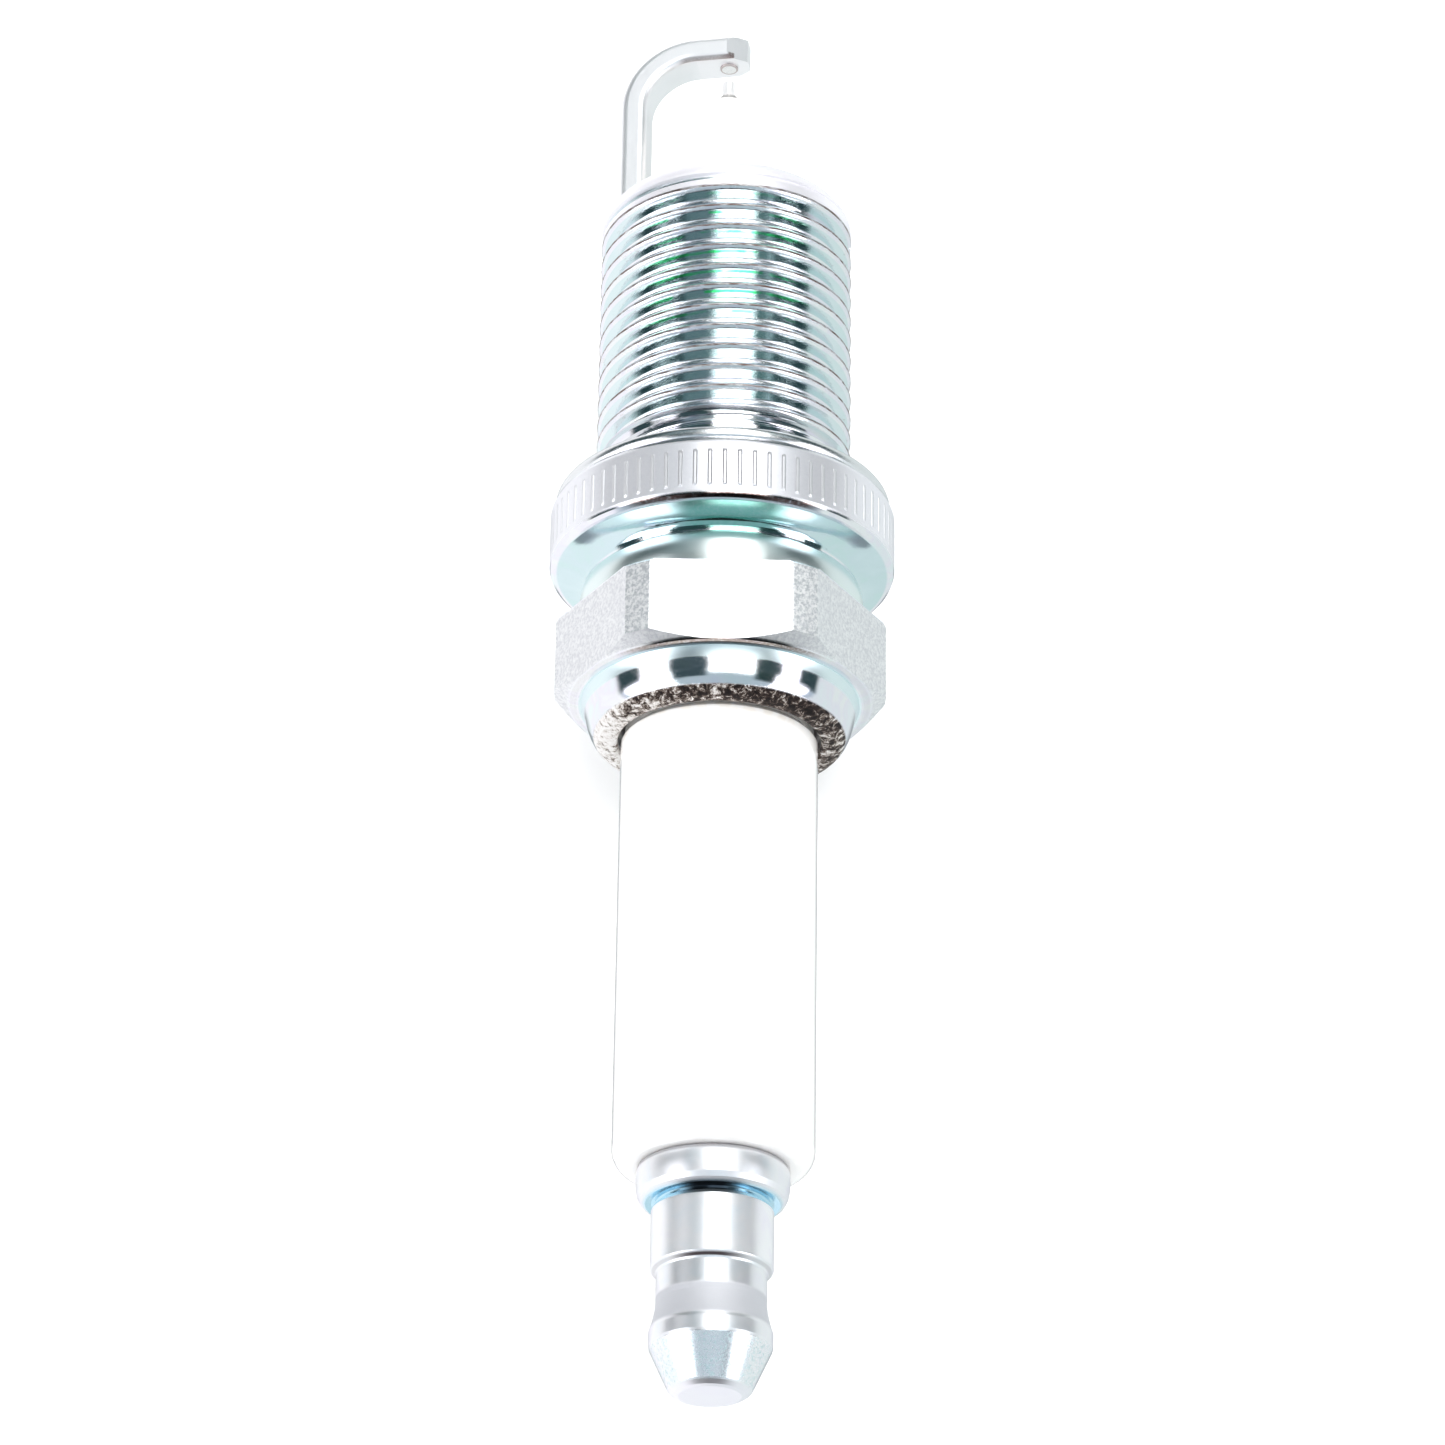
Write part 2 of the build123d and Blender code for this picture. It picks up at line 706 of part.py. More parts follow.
# ---------------------------------------------------------------------------
# ground electrode: a bent strap welded to the shell's end ring
# ---------------------------------------------------------------------------
strap_cos = cos(radians(STRAP_ANGLE))
strap_sin = sin(radians(STRAP_ANGLE))
outward = (strap_cos, strap_sin, 0)
strap_plane = Plane(origin=(0, 0, 0), x_dir=outward, z_dir=(strap_sin, -strap_cos, 0))
weld_plane = Plane(
    origin=(STRAP_LEG_R * strap_cos, STRAP_LEG_R * strap_sin, FIRING_END_Z),
    x_dir=outward,
    z_dir=(0, 0, -1),
)
trim_plane = Plane(origin=(0, 0, STRAP_MID_Z - 2), x_dir=outward, z_dir=(0, 0, 1))
# centre of the bend
bend_x = STRAP_LEG_R - STRAP_BEND_R
bend_z = STRAP_MID_Z + STRAP_BEND_R
bend_diagonal = STRAP_BEND_R * cos(radians(45))
# outline kept by the trim, a little wider than the strap
trim_side = STRAP_W / 2 + 0.02
trim_end_y = STRAP_W / 2 - TRIM_WIDTH
trim_outer_x = 7.0

with BuildPart() as ground_electrode:
    with BuildLine(strap_plane) as strap_path:
        Line((STRAP_LEG_R, FIRING_END_Z), (STRAP_LEG_R, bend_z))
        ThreePointArc(
            (STRAP_LEG_R, bend_z),
            (bend_x + bend_diagonal, bend_z - bend_diagonal),
            (bend_x, STRAP_MID_Z),
        )
        Line((bend_x, STRAP_MID_Z), (-STRAP_REACH, STRAP_MID_Z))
    with BuildSketch(weld_plane):
        RectangleRounded(STRAP_T, STRAP_W, STRAP_ROUND)
    sweep(path=strap_path.line)
    # trimmed corners at the free end
    with BuildSketch(trim_plane):
        with BuildLine():
            Polyline(
                (-STRAP_REACH, -trim_end_y),
                (-STRAP_REACH + TRIM_LENGTH, -trim_side),
                (trim_outer_x, -trim_side),
                (trim_outer_x, trim_side),
                (-STRAP_REACH + TRIM_LENGTH, trim_side),
                (-STRAP_REACH, trim_end_y),
                close=True,
            )
        make_face()
    extrude(amount=16, mode=Mode.INTERSECT)
    # upset metal of the resistance weld
    with BuildSketch(weld_plane):
        RectangleRounded(STRAP_T + 0.26, STRAP_W + 0.34, WELD_ROUND)
    extrude(amount=WELD_HEIGHT, taper=WELD_TAPER)

write_piece("ground_electrode", ground_electrode.part)

# precious-metal pad on the strap, facing the tip
write_turned(
    "ground_pad",
    (0, STRAP_FACE_Z),
    (PAD_R, STRAP_FACE_Z),
    (PAD_R, PAD_Z - 0.03),
    (PAD_R - 0.03, PAD_Z),
    (0, PAD_Z),
)
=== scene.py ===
"""Spark plug: procedural looks for the CAD pieces, with a floor, lights and a camera.

The plug's axis is z, with the firing end at low z and the terminal at high z.
The front is -y, the side the camera looks at; the picture's right is -x and its top is -z.
Geometry is in metres. Materials measure position, radius and angle in millimetres and radians.
"""
import math
from functools import cached_property, reduce
from types import SimpleNamespace

import bpy
from mathutils import Matrix, Vector


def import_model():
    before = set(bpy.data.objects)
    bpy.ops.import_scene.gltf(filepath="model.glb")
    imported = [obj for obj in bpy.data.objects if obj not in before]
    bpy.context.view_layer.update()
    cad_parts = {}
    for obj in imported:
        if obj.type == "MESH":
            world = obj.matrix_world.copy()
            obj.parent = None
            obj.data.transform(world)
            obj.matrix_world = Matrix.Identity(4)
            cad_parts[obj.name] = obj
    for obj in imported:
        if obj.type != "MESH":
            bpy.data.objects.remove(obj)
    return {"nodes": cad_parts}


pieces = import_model()["nodes"]
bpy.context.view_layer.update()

MM = 0.001
FULL_TURN = 2 * math.pi
DEGREES = 180 / math.pi

CREASE_ANGLE = math.radians(24)  # sharper edges are split

THREAD_PITCH = 1.25  # mm
THREAD_ORIGIN = 15.78  # mm below z = 0, where the crest phase is zero
CREST_RADIUS = dict(start=6.895, end=6.912)  # mm, the flat top of the thread
FULL_GROOVE = (-15.35, -15.15)  # mm, z where the groove reaches full depth
FLANGE_TICKS = 74
STRAP_TURN = math.radians(10.0)  # the ground electrode's turn about the axis

FLOOR_Y = 0.0097
FLOOR_HALF = 1.6


# --- node graphs ---
class Graph:
    """Short calls for shader nodes; every call returns an output socket."""

    def __init__(self, owner):
        owner.use_nodes = True
        self.nodes = owner.node_tree.nodes
        self.links = owner.node_tree.links
        self.nodes.clear()

    def new(self, kind, **values):
        node = self.nodes.new(kind)
        for key, value in values.items():
            setattr(node, key, value)
        return node

    def put(self, socket, value):
        """Link a socket, or set a value; colours get an alpha of 1."""
        if isinstance(value, bpy.types.NodeSocket):
            self.links.new(value, socket)
            return
        if isinstance(value, tuple) and len(socket.default_value) == 4:
            value = (*value, 1.0)
        socket.default_value = value

    def fill(self, node, **values):
        """Set inputs by name, with _ for a space."""
        for key, value in values.items():
            self.put(node.inputs[key.replace("_", " ")], value)

    def math(self, operation, *values):
        node = self.new("ShaderNodeMath", operation=operation)
        for i, value in enumerate(values):
            self.put(node.inputs[i], value)
        return node.outputs[0]

    def mul(self, *values):
        return reduce(lambda a, b: self.math("MULTIPLY", a, b), values)

    def add(self, a, b):
        return self.math("ADD", a, b)

    def sub(self, a, b):
        return self.math("SUBTRACT", a, b)

    def vary(self, signal, start, by):
        return self.add(start, self.mul(signal, by))

    def weighted(self, *terms):
        """Sum of (signal, weight) pairs."""
        return reduce(self.add, [self.mul(signal, weight) for signal, weight in terms])

    def step(self, x, start, end, first=0.0, last=1.0, kind="SMOOTHSTEP"):
        """first before start, last after end; start may be the larger of the two."""
        node = self.new("ShaderNodeMapRange", interpolation_type=kind, clamp=True)
        for i, value in enumerate((x, start, end, first, last)):
            self.put(node.inputs[i], value)
        return node.outputs[0]

    def window(self, x, start, end, soft):
        """1 between start and end, falling to 0 across each edge."""
        rise = self.step(x, start - soft, start + soft)
        fall = self.step(x, end - soft, end + soft, first=1.0, last=0.0)
        return self.mul(rise, fall)

    def mix(self, factor, low, high):
        """Mix two colours."""
        node = self.new("ShaderNodeMix", data_type="RGBA", clamp_factor=True)
        for i, value in ((0, factor), (6, low), (7, high)):
            self.put(node.inputs[i], value)
        return node.outputs[2]

    def blend(self, factor, low, high):
        """Mix two numbers."""
        node = self.new("ShaderNodeMix", data_type="FLOAT", clamp_factor=True)
        for i, value in ((0, factor), (2, low), (3, high)):
            self.put(node.inputs[i], value)
        return node.outputs[0]

    def noise(self, scale, detail, rough, distort=0.0, at=None):
        node = self.new("ShaderNodeTexNoise")
        at = at or self.spot
        self.fill(node, Vector=at, Scale=scale, Detail=detail, Roughness=rough, Distortion=distort)
        return node.outputs[0]

    def turned_noise(self, along, around, detail, rough):
        """Noise stretched round the axis, for lathe marks."""
        node = self.new("ShaderNodeCombineXYZ")
        self.put(node.inputs[0], self.mul(self.math("COSINE", self.angle), around))
        self.put(node.inputs[1], self.mul(self.math("SINE", self.angle), around))
        slope = self.vary(self.radius, start=self.z, by=0.7)
        self.put(node.inputs[2], self.mul(slope, along))
        return self.noise(scale=1.0, detail=detail, rough=rough, at=node.outputs[0])

    def ramp(self, factor, stops):
        """Colour ramp from (position, colour) stops."""
        node = self.new("ShaderNodeValToRGB")
        elements = node.color_ramp.elements
        while len(elements) < len(stops):
            elements.new(0.5)
        for element, (position, colour) in zip(elements, stops):
            element.position = position
            element.color = (*colour, 1.0)
        self.put(node.inputs[0], factor)
        return node.outputs[0]

    def bump(self, height, strength, distance, **normal):
        node = self.new("ShaderNodeBump")
        self.fill(node, Strength=strength, Distance=distance, Height=height, **normal)
        return node.outputs[0]

    # position on the object, built when first asked for
    @cached_property
    def spot(self):
        node = self.new("ShaderNodeVectorMath", operation="SCALE")
        self.put(node.inputs[0], self.new("ShaderNodeTexCoord").outputs["Object"])
        self.put(node.inputs["Scale"], 1000.0)  # metres to millimetres
        return node.outputs[0]

    @cached_property
    def xyz(self):
        node = self.new("ShaderNodeSeparateXYZ")
        self.put(node.inputs[0], self.spot)
        return node.outputs

    @property
    def x(self):
        return self.xyz[0]

    @property
    def y(self):
        return self.xyz[1]

    @property
    def z(self):
        return self.xyz[2]

    @cached_property
    def radius(self):
        return self.math("SQRT", self.add(self.mul(self.x, self.x), self.mul(self.y, self.y)))

    @cached_property
    def angle(self):
        return self.math("ARCTAN2", self.y, self.x)

    def facing(self):
        node = self.new("ShaderNodeLayerWeight")
        self.fill(node, Blend=0.35)
        return node.outputs["Facing"]


class Look(Graph):
    """A principled material whose colour, roughness and metallic are built up in layers."""

    def __init__(self, name, metallic=0.0):
        self.material = bpy.data.materials.new(name)
        super().__init__(self.material)
        self.metallic = metallic
        output = self.new("ShaderNodeOutputMaterial")
        self.shader = self.new("ShaderNodeBsdfPrincipled")
        self.put(output.inputs[0], self.shader.outputs[0])

    def paint(self, mask, tint, strength=None):
        if strength is not None:
            mask = self.mul(mask, strength)
        self.base = self.mix(mask, self.base, tint)

    def shift(self, mask, **targets):
        """Move rough or metallic towards a value inside the mask."""
        for key, value in targets.items():
            setattr(self, key, self.blend(mask, getattr(self, key), value))

    def finish(self, normal):
        self.fill(self.shader, Base_Color=self.base, Metallic=self.metallic,
                  Roughness=self.rough, Normal=normal)
        return self.material


# --- metal shell ---
def shell_grain(mat):
    return SimpleNamespace(
        cloudy=mat.noise(scale=0.55, detail=3.0, rough=0.5, distort=0.6),
        fine=mat.noise(scale=9.0, detail=6.0, rough=0.65),
        grit=mat.noise(scale=38.0, detail=3.0, rough=0.7),
        coarse=mat.noise(scale=5.0, detail=6.0, rough=0.8),
        speckle=mat.noise(scale=2.3, detail=8.0, rough=0.82, distort=0.5),
        lathe=mat.turned_noise(along=22.0, around=2.0, detail=5.0, rough=0.7),
        scuff=mat.turned_noise(along=16.0, around=3.2, detail=5.0, rough=0.8),
    )


def crest_seam(mat):
    """The rolled seam on each crest; before full groove depth, only the crest's middle."""
    ends = mat.mul(
        mat.step(mat.z, start=-16.75, end=-16.45), mat.step(mat.z, start=-2.35, end=-2.55)
    )
    turn = mat.mul(mat.sub(mat.angle, math.pi), 1.0 / FULL_TURN)
    pitches = mat.mul(mat.add(mat.z, THREAD_ORIGIN), 1.0 / THREAD_PITCH)
    phase = mat.math("FRACT", mat.sub(pitches, turn))
    centred = mat.window(phase, start=0.44, end=0.56, soft=0.03)
    width = mat.blend(mat.step(mat.z, *FULL_GROOVE), low=centred, high=1.0)
    return mat.mul(mat.step(mat.radius, **CREST_RADIUS), mat.mul(ends, width))


def shell_zones(mat, grain):
    """Masks for the parts of the shell, in millimetres along and out from the axis."""
    z, radius = mat.z, mat.radius
    zone = SimpleNamespace()
    zone.thread = mat.window(z, start=-17.6, end=-2.2, soft=0.12)
    zone.flank = mat.mul(
        mat.step(radius, start=6.30, end=6.42),
        mat.step(radius, start=6.80, end=6.72),
        zone.thread,
    )
    zone.crest = crest_seam(mat)
    blank = mat.mul(
        mat.step(radius, **CREST_RADIUS),
        mat.step(z, *reversed(FULL_GROOVE)),
        mat.sub(1.0, zone.crest),
    )
    firing_end = mat.step(z, start=-16.55, end=-16.85)
    zone.nose = mat.math("MAXIMUM", firing_end, mat.mul(blank, 0.9))
    zone.band = mat.mul(
        mat.window(z, start=1.05, end=4.15, soft=0.10), mat.step(radius, start=9.20, end=9.30)
    )
    zone.hollow = mat.mul(
        mat.window(z, start=4.40, end=5.30, soft=0.08), mat.step(radius, start=9.0, end=8.85)
    )
    zone.thin = mat.mul(
        mat.window(z, start=5.45, end=7.40, soft=0.10), mat.step(radius, start=7.75, end=7.65)
    )
    zone.hexagon = mat.mul(
        mat.window(z, start=7.60, end=12.10, soft=0.08), mat.step(radius, start=7.72, end=7.86)
    )
    zone.corner = mat.mul(zone.hexagon, mat.step(radius, start=8.825, end=8.845))
    zone.foot = mat.mul(
        mat.window(z, start=12.20, end=12.85, soft=0.08), mat.step(radius, start=7.60, end=7.52)
    )
    ragged = mat.mul(mat.sub(grain.speckle, 0.5), 0.9)
    zone.lip = mat.mul(
        mat.step(z, start=14.10, end=14.20),
        mat.step(mat.add(radius, ragged), start=6.82, end=6.70),
    )
    zone.inside = mat.mul(
        mat.step(radius, start=4.75, end=4.60), mat.step(z, start=-9.0, end=-9.4)
    )
    return zone


def paint_thread(mat, grain, zone):
    """Teal flanks, painted green reflection patches on the front shoulders, a broken brown seam,
    scuffs and a pale nose.
    """
    drift = mat.turned_noise(along=0.9, around=1.9, detail=3.0, rough=0.6)
    teal = mat.mix(drift, low=(0.58, 0.80, 0.78), high=(0.82, 0.86, 0.90))
    mat.paint(zone.flank, tint=teal, strength=0.8)
    # painted green reflection: patches on the thread shoulders, front side only
    middle = mat.mul(
        mat.window(mat.z, start=-15.0, end=-7.6, soft=0.8),
        mat.step(mat.y, start=-4.6, end=-5.6),
    )
    patch = mat.turned_noise(along=0.8, around=2.6, detail=2.0, rough=0.5)
    shoulder = mat.window(mat.radius, start=6.56, end=6.70, soft=0.03)
    green_reflection_patches = mat.mul(mat.step(patch, start=0.46, end=0.52), middle, shoulder, zone.thread)
    mat.paint(green_reflection_patches, tint=(0.22, 0.95, 0.50), strength=0.9)
    broken = mat.turned_noise(along=9.0, around=9.0, detail=4.0, rough=0.75)
    line = mat.mul(zone.crest, mat.step(broken, start=0.38, end=0.60, first=0.25))
    mat.paint(line, tint=(0.20, 0.135, 0.115))
    scuffed = mat.mul(mat.step(grain.scuff, start=0.60, end=0.70), zone.thread)
    mat.paint(scuffed, tint=(0.34, 0.29, 0.27), strength=0.45)
    mat.paint(zone.nose, tint=(0.95, 0.93, 0.98), strength=0.9)


def paint_flange(mat, grain, zone):
    """Satin side, a painted dark reflection line on the front edge, teal hollow back with a
    painted green reflection at its front, and the pale band above it.
    """
    satin = mat.mix(grain.coarse, low=(0.74, 0.74, 0.79), high=(0.90, 0.90, 0.93))
    mat.paint(zone.band, tint=satin)
    # painted dark reflection: a line on the flange's edge, front side only
    painted_dark_edge = mat.mul(
        mat.window(mat.z, start=4.20, end=4.42, soft=0.04),
        mat.step(mat.radius, start=9.0, end=9.1),
        mat.step(mat.y, start=-7.4, end=-8.2),
        mat.step(grain.coarse, start=0.30, end=0.55, first=0.5),
    )
    mat.paint(painted_dark_edge, tint=(0.16, 0.10, 0.09))
    teal = mat.mix(grain.cloudy, low=(0.46, 0.74, 0.70), high=(0.70, 0.80, 0.87))
    mat.paint(zone.hollow, tint=teal, strength=0.75)
    # painted green reflection in the middle of the hollow, front side only
    green = mat.mul(
        mat.window(mat.x, start=-3.2, end=2.2, soft=0.8),
        mat.step(mat.y, start=-6.4, end=-7.2),
        zone.hollow,
        mat.step(grain.coarse, start=0.25, end=0.60, first=0.6),
    )
    mat.paint(green, tint=(0.30, 0.62, 0.54))
    mat.paint(zone.thin, tint=(0.86, 0.96, 0.94), strength=0.8)


def paint_hexagon(mat, grain, zone):
    """Grainy sides, coarser rubbed corners and a patchy painted dark reflection on the edge
    towards the terminal, strongest at the front.
    """
    sides = mat.mix(
        mat.step(grain.coarse, start=0.40, end=0.60),
        low=(0.72, 0.72, 0.75), high=(0.94, 0.94, 0.95),
    )
    rubbed = mat.mix(
        mat.step(grain.coarse, start=0.42, end=0.58),
        low=(0.60, 0.62, 0.64), high=(0.98, 0.98, 0.98),
    )
    mat.paint(zone.hexagon, tint=sides)
    mat.paint(zone.corner, tint=rubbed)
    # painted dark reflection: a patchy dark line on the edge towards the terminal, strongest on
    # the front side
    patchy_mask = mat.mul(
        mat.window(mat.z, start=12.17, end=12.34, soft=0.03),
        mat.step(mat.radius, start=7.62, end=7.74),
        mat.step(mat.y, start=-5.6, end=-7.0, first=0.12),
        mat.step(grain.fine, start=0.30, end=0.55, first=0.35, last=0.9),
    )
    mat.paint(patchy_mask, tint=(0.26, 0.20, 0.17))


def paint_crimp(mat, grain, zone):
    """Pale cyan foot and a speckled, heat-darkened lip, with painted shade making it darkest at
    the front.
    """
    mat.paint(zone.foot, tint=(0.78, 0.95, 0.96), strength=0.7)
    # painted shade: pushes the lip's speckle darker at the front; the speckle itself is the lip's
    # own colour
    painted_front_shade = mat.blend(mat.step(mat.y, start=-1.0, end=-5.2), low=-0.02, high=0.055)
    painted_front_shade = mat.sub(painted_front_shade, mat.mul(mat.x, 0.008))  # a little more towards -x
    burn_and_painted_shade = mat.ramp(mat.sub(grain.speckle, painted_front_shade), stops=[
        (0.38, (0.012, 0.008, 0.008)),
        (0.45, (0.055, 0.035, 0.030)),
        (0.49, (0.30, 0.24, 0.20)),
        (0.53, (0.80, 0.76, 0.73)),
        (0.60, (0.94, 0.92, 0.91)),
    ])
    mat.paint(zone.lip, tint=burn_and_painted_shade)


def shell_roughness(mat, grain, zone):
    patchy_mask = mat.step(grain.fine, start=0.4, end=0.8)
    mat.rough = mat.vary(patchy_mask, start=0.075, by=0.09)
    scuffed = mat.step(grain.scuff, start=0.45, end=0.75)
    mat.shift(zone.thread, rough=mat.vary(scuffed, start=0.16, by=0.20))
    scuffed = mat.step(grain.scuff, start=0.50, end=0.75)
    mat.shift(zone.flank, rough=mat.vary(scuffed, start=0.04, by=0.12))
    mat.shift(zone.nose, rough=0.46)
    mat.shift(zone.thin, rough=0.30)
    mat.shift(zone.foot, rough=0.30)
    mat.shift(zone.band, rough=mat.vary(grain.fine, start=0.32, by=0.14))
    mat.shift(zone.hexagon, rough=mat.vary(grain.grit, start=0.30, by=0.20))
    mat.shift(zone.corner, rough=0.55)
    mat.shift(zone.crest, rough=0.5)
    mat.shift(zone.lip, rough=0.62, metallic=0.70)
    mat.shift(zone.inside, rough=0.45)
    mat.shift(zone.band, metallic=0.75)
    mat.shift(zone.nose, metallic=0.62)
    mat.shift(zone.hexagon, metallic=0.93)


def flange_ticks(mat, zone):
    """Stamped ticks round the flange."""
    turn = mat.mul(mat.add(mat.angle, math.pi), FLANGE_TICKS / FULL_TURN)
    tick = mat.window(mat.math("FRACT", turn), start=0.28, end=0.50, soft=0.05)
    height = mat.window(mat.z, start=1.70, end=3.75, soft=0.10)
    return mat.mul(tick, mat.mul(height, zone.band))


def shell_plating():
    mat = Look("shell_plating_look", metallic=1.0)
    grain = shell_grain(mat)
    zone = shell_zones(mat, grain)
    # passivated zinc: faint interference tints that drift with place and angle
    mat.base = mat.ramp(mat.weighted((grain.cloudy, 0.75), (mat.facing(), 0.35)), stops=[
        (0.00, (0.80, 0.90, 0.88)),
        (0.28, (0.86, 0.90, 0.90)),
        (0.42, (0.90, 0.90, 0.92)),
        (0.52, (0.87, 0.85, 0.92)),
        (0.66, (0.84, 0.90, 0.92)),
        (0.84, (0.78, 0.91, 0.87)),
        (1.00, (0.91, 0.91, 0.93)),
    ])
    for paint_part in (paint_thread, paint_flange, paint_hexagon, paint_crimp):
        paint_part(mat, grain, zone)
    mat.paint(zone.inside, tint=(0.46, 0.45, 0.44))
    stain = mat.step(grain.fine, start=0.60, end=0.76)
    mat.paint(stain, tint=(0.46, 0.42, 0.42), strength=0.14)
    shell_roughness(mat, grain, zone)
    ticks = flange_ticks(mat, zone)
    mat.paint(ticks, tint=(0.97, 0.97, 0.97), strength=0.30)
    relief = mat.weighted(
        (grain.lathe, 0.35),
        (mat.mul(grain.grit, zone.hexagon), 1.1),
        (mat.mul(grain.grit, zone.corner), 2.2),
        (mat.mul(grain.grit, zone.crest), 1.4),
        (mat.mul(grain.scuff, zone.thread), 1.6),
        (mat.mul(grain.speckle, zone.lip), 5.0),
    )
    surface = mat.bump(relief, strength=0.22, distance=0.000030)
    return mat.finish(mat.bump(ticks, strength=1.0, distance=0.00011, Normal=surface))


# --- terminal ---
def nut_detail(mat, fine, grit, front):
    """Matt flare, pitted taper, pale tail, blue ring with painted dark reflection at its front,
    and painted dark reflection on the ledge.
    """
    flare = mat.window(mat.z, start=45.75, end=47.42, soft=0.12)
    mat.paint(flare, tint=mat.mix(grit, low=(0.64, 0.65, 0.68), high=(0.80, 0.80, 0.83)))
    mat.shift(flare, rough=0.72)
    taper = mat.window(mat.z, start=48.45, end=50.6, soft=0.12)
    mat.shift(taper, rough=mat.vary(fine, start=0.14, by=0.10))
    pitted = mat.mul(mat.step(fine, start=0.50, end=0.60), taper)
    mat.paint(pitted, tint=(0.50, 0.70, 0.72), strength=0.65)
    mat.rough = mat.vary(pitted, start=mat.rough, by=0.16)
    tail = mat.step(mat.z, start=50.60, end=50.80)
    mat.paint(tail, tint=(0.95, 0.93, 1.0), strength=0.7)
    blue = mat.window(mat.z, start=40.82, end=41.08, soft=0.06)
    mat.paint(blue, tint=(0.66, 0.88, 0.98), strength=0.7)
    mat.shift(blue, rough=0.12)
    # painted dark reflection on the front of the blue ring
    mat.paint(mat.mul(blue, front), tint=(0.03, 0.04, 0.06), strength=0.55)
    # painted dark reflection on the ledge, strongest at the front
    ledge = mat.window(mat.z, start=44.27, end=44.39, soft=0.03)
    ledge = mat.mul(ledge, mat.blend(front, low=0.22, high=0.95))
    mat.paint(ledge, tint=(0.09, 0.06, 0.06))


def stud_detail(mat, fine, grit, front):
    """Blue neck with painted shadow at its front, and painted shade at the rim where the stud sits
    on the insulator.
    """
    blue = mat.mul(
        mat.step(mat.z, start=40.44, end=40.62), mat.step(mat.radius, start=3.72, end=3.40)
    )
    mat.paint(blue, tint=(0.42, 0.74, 0.90), strength=0.8)
    # painted shadow on the front of the neck, in the gap under the nut
    mat.paint(mat.mul(blue, front), tint=(0.02, 0.02, 0.03), strength=0.95)
    mat.shift(blue, rough=0.12)
    # painted shade at the rim where the stud sits on the insulator
    rim = mat.window(mat.z, start=38.6, end=38.95, soft=0.08)
    mat.paint(rim, tint=(0.26, 0.24, 0.26), strength=0.55)
    mat.rough = mat.add(mat.rough, 0.04)


def terminal_steel(name, detail):
    mat = Look(name, metallic=0.90)
    fine = mat.noise(scale=7.0, detail=6.0, rough=0.65)
    grit = mat.noise(scale=42.0, detail=3.0, rough=0.7)
    lathe = mat.turned_noise(along=30.0, around=1.5, detail=6.0, rough=0.72)
    cloudy = mat.noise(scale=0.7, detail=2.0, rough=0.5, distort=0.4)
    mat.base = mat.ramp(mat.weighted((cloudy, 0.8), (mat.facing(), 0.3)), stops=[
        (0.20, (0.84, 0.89, 0.94)),
        (0.50, (0.92, 0.92, 0.94)),
        (0.75, (0.88, 0.86, 0.93)),
        (1.00, (0.82, 0.91, 0.97)),
    ])
    mat.rough = mat.vary(fine, start=0.28, by=0.14)
    # front: the middle of the -y side, where the details paint dark reflection and shadow
    front = mat.mul(
        mat.window(mat.x, start=-1.2, end=1.6, soft=0.8), mat.step(mat.y, start=-1.6, end=-2.4)
    )
    detail(mat, fine, grit, front)
    stain = mat.step(fine, start=0.60, end=0.78)
    mat.paint(stain, tint=(0.46, 0.42, 0.42), strength=0.18)
    mat.shift(mat.window(mat.z, start=41.15, end=44.15, soft=0.12), metallic=0.80)
    relief = mat.weighted((lathe, 0.6), (grit, 0.35))
    return mat.finish(mat.bump(relief, strength=0.20, distance=0.000022))


# --- insulator ---
def alumina():
    """Bare ceramic at the firing end, glazed above it."""
    mat = Look("alumina_look")
    cloudy = mat.noise(scale=0.22, detail=3.0, rough=0.5)
    pores = mat.noise(scale=16.0, detail=2.0, rough=0.5)
    ripple = mat.noise(scale=1.6, detail=3.0, rough=0.5)
    glaze = mat.step(mat.z, start=-6.0, end=-4.0)
    glazed = mat.mix(cloudy, low=(0.90, 0.895, 0.88), high=(0.955, 0.955, 0.95))
    bare = mat.mix(pores, low=(0.80, 0.785, 0.75), high=(0.90, 0.89, 0.87))
    mat.base = mat.mix(glaze, bare, glazed)
    speck = mat.step(pores, start=0.735, end=0.775)
    mat.paint(speck, tint=(0.55, 0.50, 0.44), strength=0.22)
    # faint stain just above the crimp
    stain = mat.mul(
        mat.window(mat.z, start=14.2, end=14.95, soft=0.25),
        mat.step(ripple, start=0.40, end=0.65),
    )
    mat.paint(stain, tint=(0.72, 0.62, 0.48), strength=0.30)
    mat.rough = mat.blend(glaze, low=0.55, high=mat.vary(cloudy, start=0.07, by=0.07))
    mat.fill(
        mat.shader,
        Coat_Weight=mat.mul(glaze, 0.8),
        Coat_Roughness=0.04,
        Subsurface_Weight=0.12,
        Subsurface_Radius=(1.0, 0.9, 0.8),
        Subsurface_Scale=0.0006,
    )
    relief = mat.weighted((ripple, 0.8), (mat.mul(pores, mat.sub(1.0, glaze)), 1.6))
    return mat.finish(mat.bump(relief, strength=0.06, distance=0.00004))


